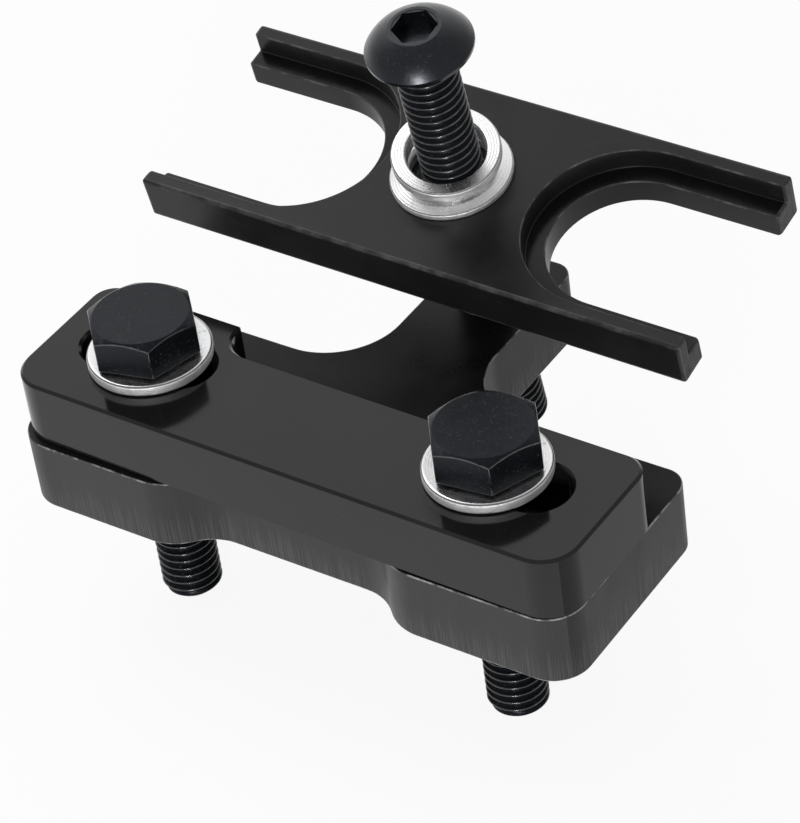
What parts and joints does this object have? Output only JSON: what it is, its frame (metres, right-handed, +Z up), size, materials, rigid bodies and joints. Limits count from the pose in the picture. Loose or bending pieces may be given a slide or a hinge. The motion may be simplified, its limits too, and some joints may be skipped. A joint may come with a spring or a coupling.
{
  "type": "valve spring compressor",
  "caption": "Bolt-down valve spring compressor: slotted clamp bar over a tongued base plate, with a U-ended fork that a slanted screw draws down onto the springs.",
  "frame": {"origin": "midway between the two bolt axes, on the underside of the base plate, where it sits on the cylinder head", "axes": "+X along the bar towards the right bolt, +Y back along the tongue, +Z up along the bolts towards their heads"},
  "size_m": [0.0829, 0.0625, 0.0787],
  "materials": {
    "base_plate": "satin",
    "clamp_bar": "gloss",
    "fork": "satin",
    "bolts": "satin",
    "washers": "satin"
  },
  "bodies": {
    "base": {"base_plate": "base_plate", "clamp_bar": "clamp_bar"},
    "left_washer": {"left_washer": "washers"},
    "left_bolt": {"left_bolt": "bolts"},
    "right_washer": {"right_washer": "washers"},
    "right_bolt": {"right_bolt": "bolts"},
    "ball_washer": {"ball_washer": "washers"},
    "forcing_screw": {"forcing_screw": "bolts"},
    "seat_washer": {"seat_washer": "washers"},
    "fork_plate": {"fork_plate": "fork"}
  },
  "joints": [
    {"name": "left_bolt_slide", "type": "slide", "parent": "base", "child": "left_washer", "axis": [1, 0, 0], "range_m": [-0.0053, 0.0048]},
    {"name": "left_bolt_turn", "type": "hinge", "parent": "left_washer", "child": "left_bolt", "pos_m": [-0.0255, 0, 0.0209], "axis": [0, 0, 1], "continuous": true},
    {"name": "right_bolt_slide", "type": "slide", "parent": "base", "child": "right_washer", "axis": [1, 0, 0], "range_m": [-0.0035, 0.0066]},
    {"name": "right_bolt_turn", "type": "hinge", "parent": "right_washer", "child": "right_bolt", "pos_m": [0.0255, 0, 0.0209], "axis": [0, 0, 1], "continuous": true},
    {"name": "fork_travel", "type": "slide", "parent": "base", "child": "ball_washer", "axis": [0.0257, -0.1977, 0.9799], "range_m": [-0.008, 0.012]},
    {"name": "screw_turn", "type": "hinge", "parent": "ball_washer", "child": "forcing_screw", "pos_m": [0.0003, 0.0384, 0.01], "axis": [0.0257, -0.1977, 0.9799], "range_deg": [-2305, 3457]},
    {"name": "fork_rock", "type": "hinge", "parent": "ball_washer", "child": "seat_washer", "pos_m": [0.00167, 0.03095, 0.04508], "axis": [-0.007, 0.9802, 0.1979], "range_deg": [-2, 2]},
    {"name": "fork_swivel", "type": "hinge", "parent": "seat_washer", "child": "fork_plate", "pos_m": [0.00089, 0.03385, 0.03254], "axis": [0.0257, -0.1977, 0.9799], "range_deg": [-8, 8]}
  ],
  "couplings": [
    {"joint": "screw_turn", "follows": "fork_travel", "rad_per_m": 5026.5}
  ]
}
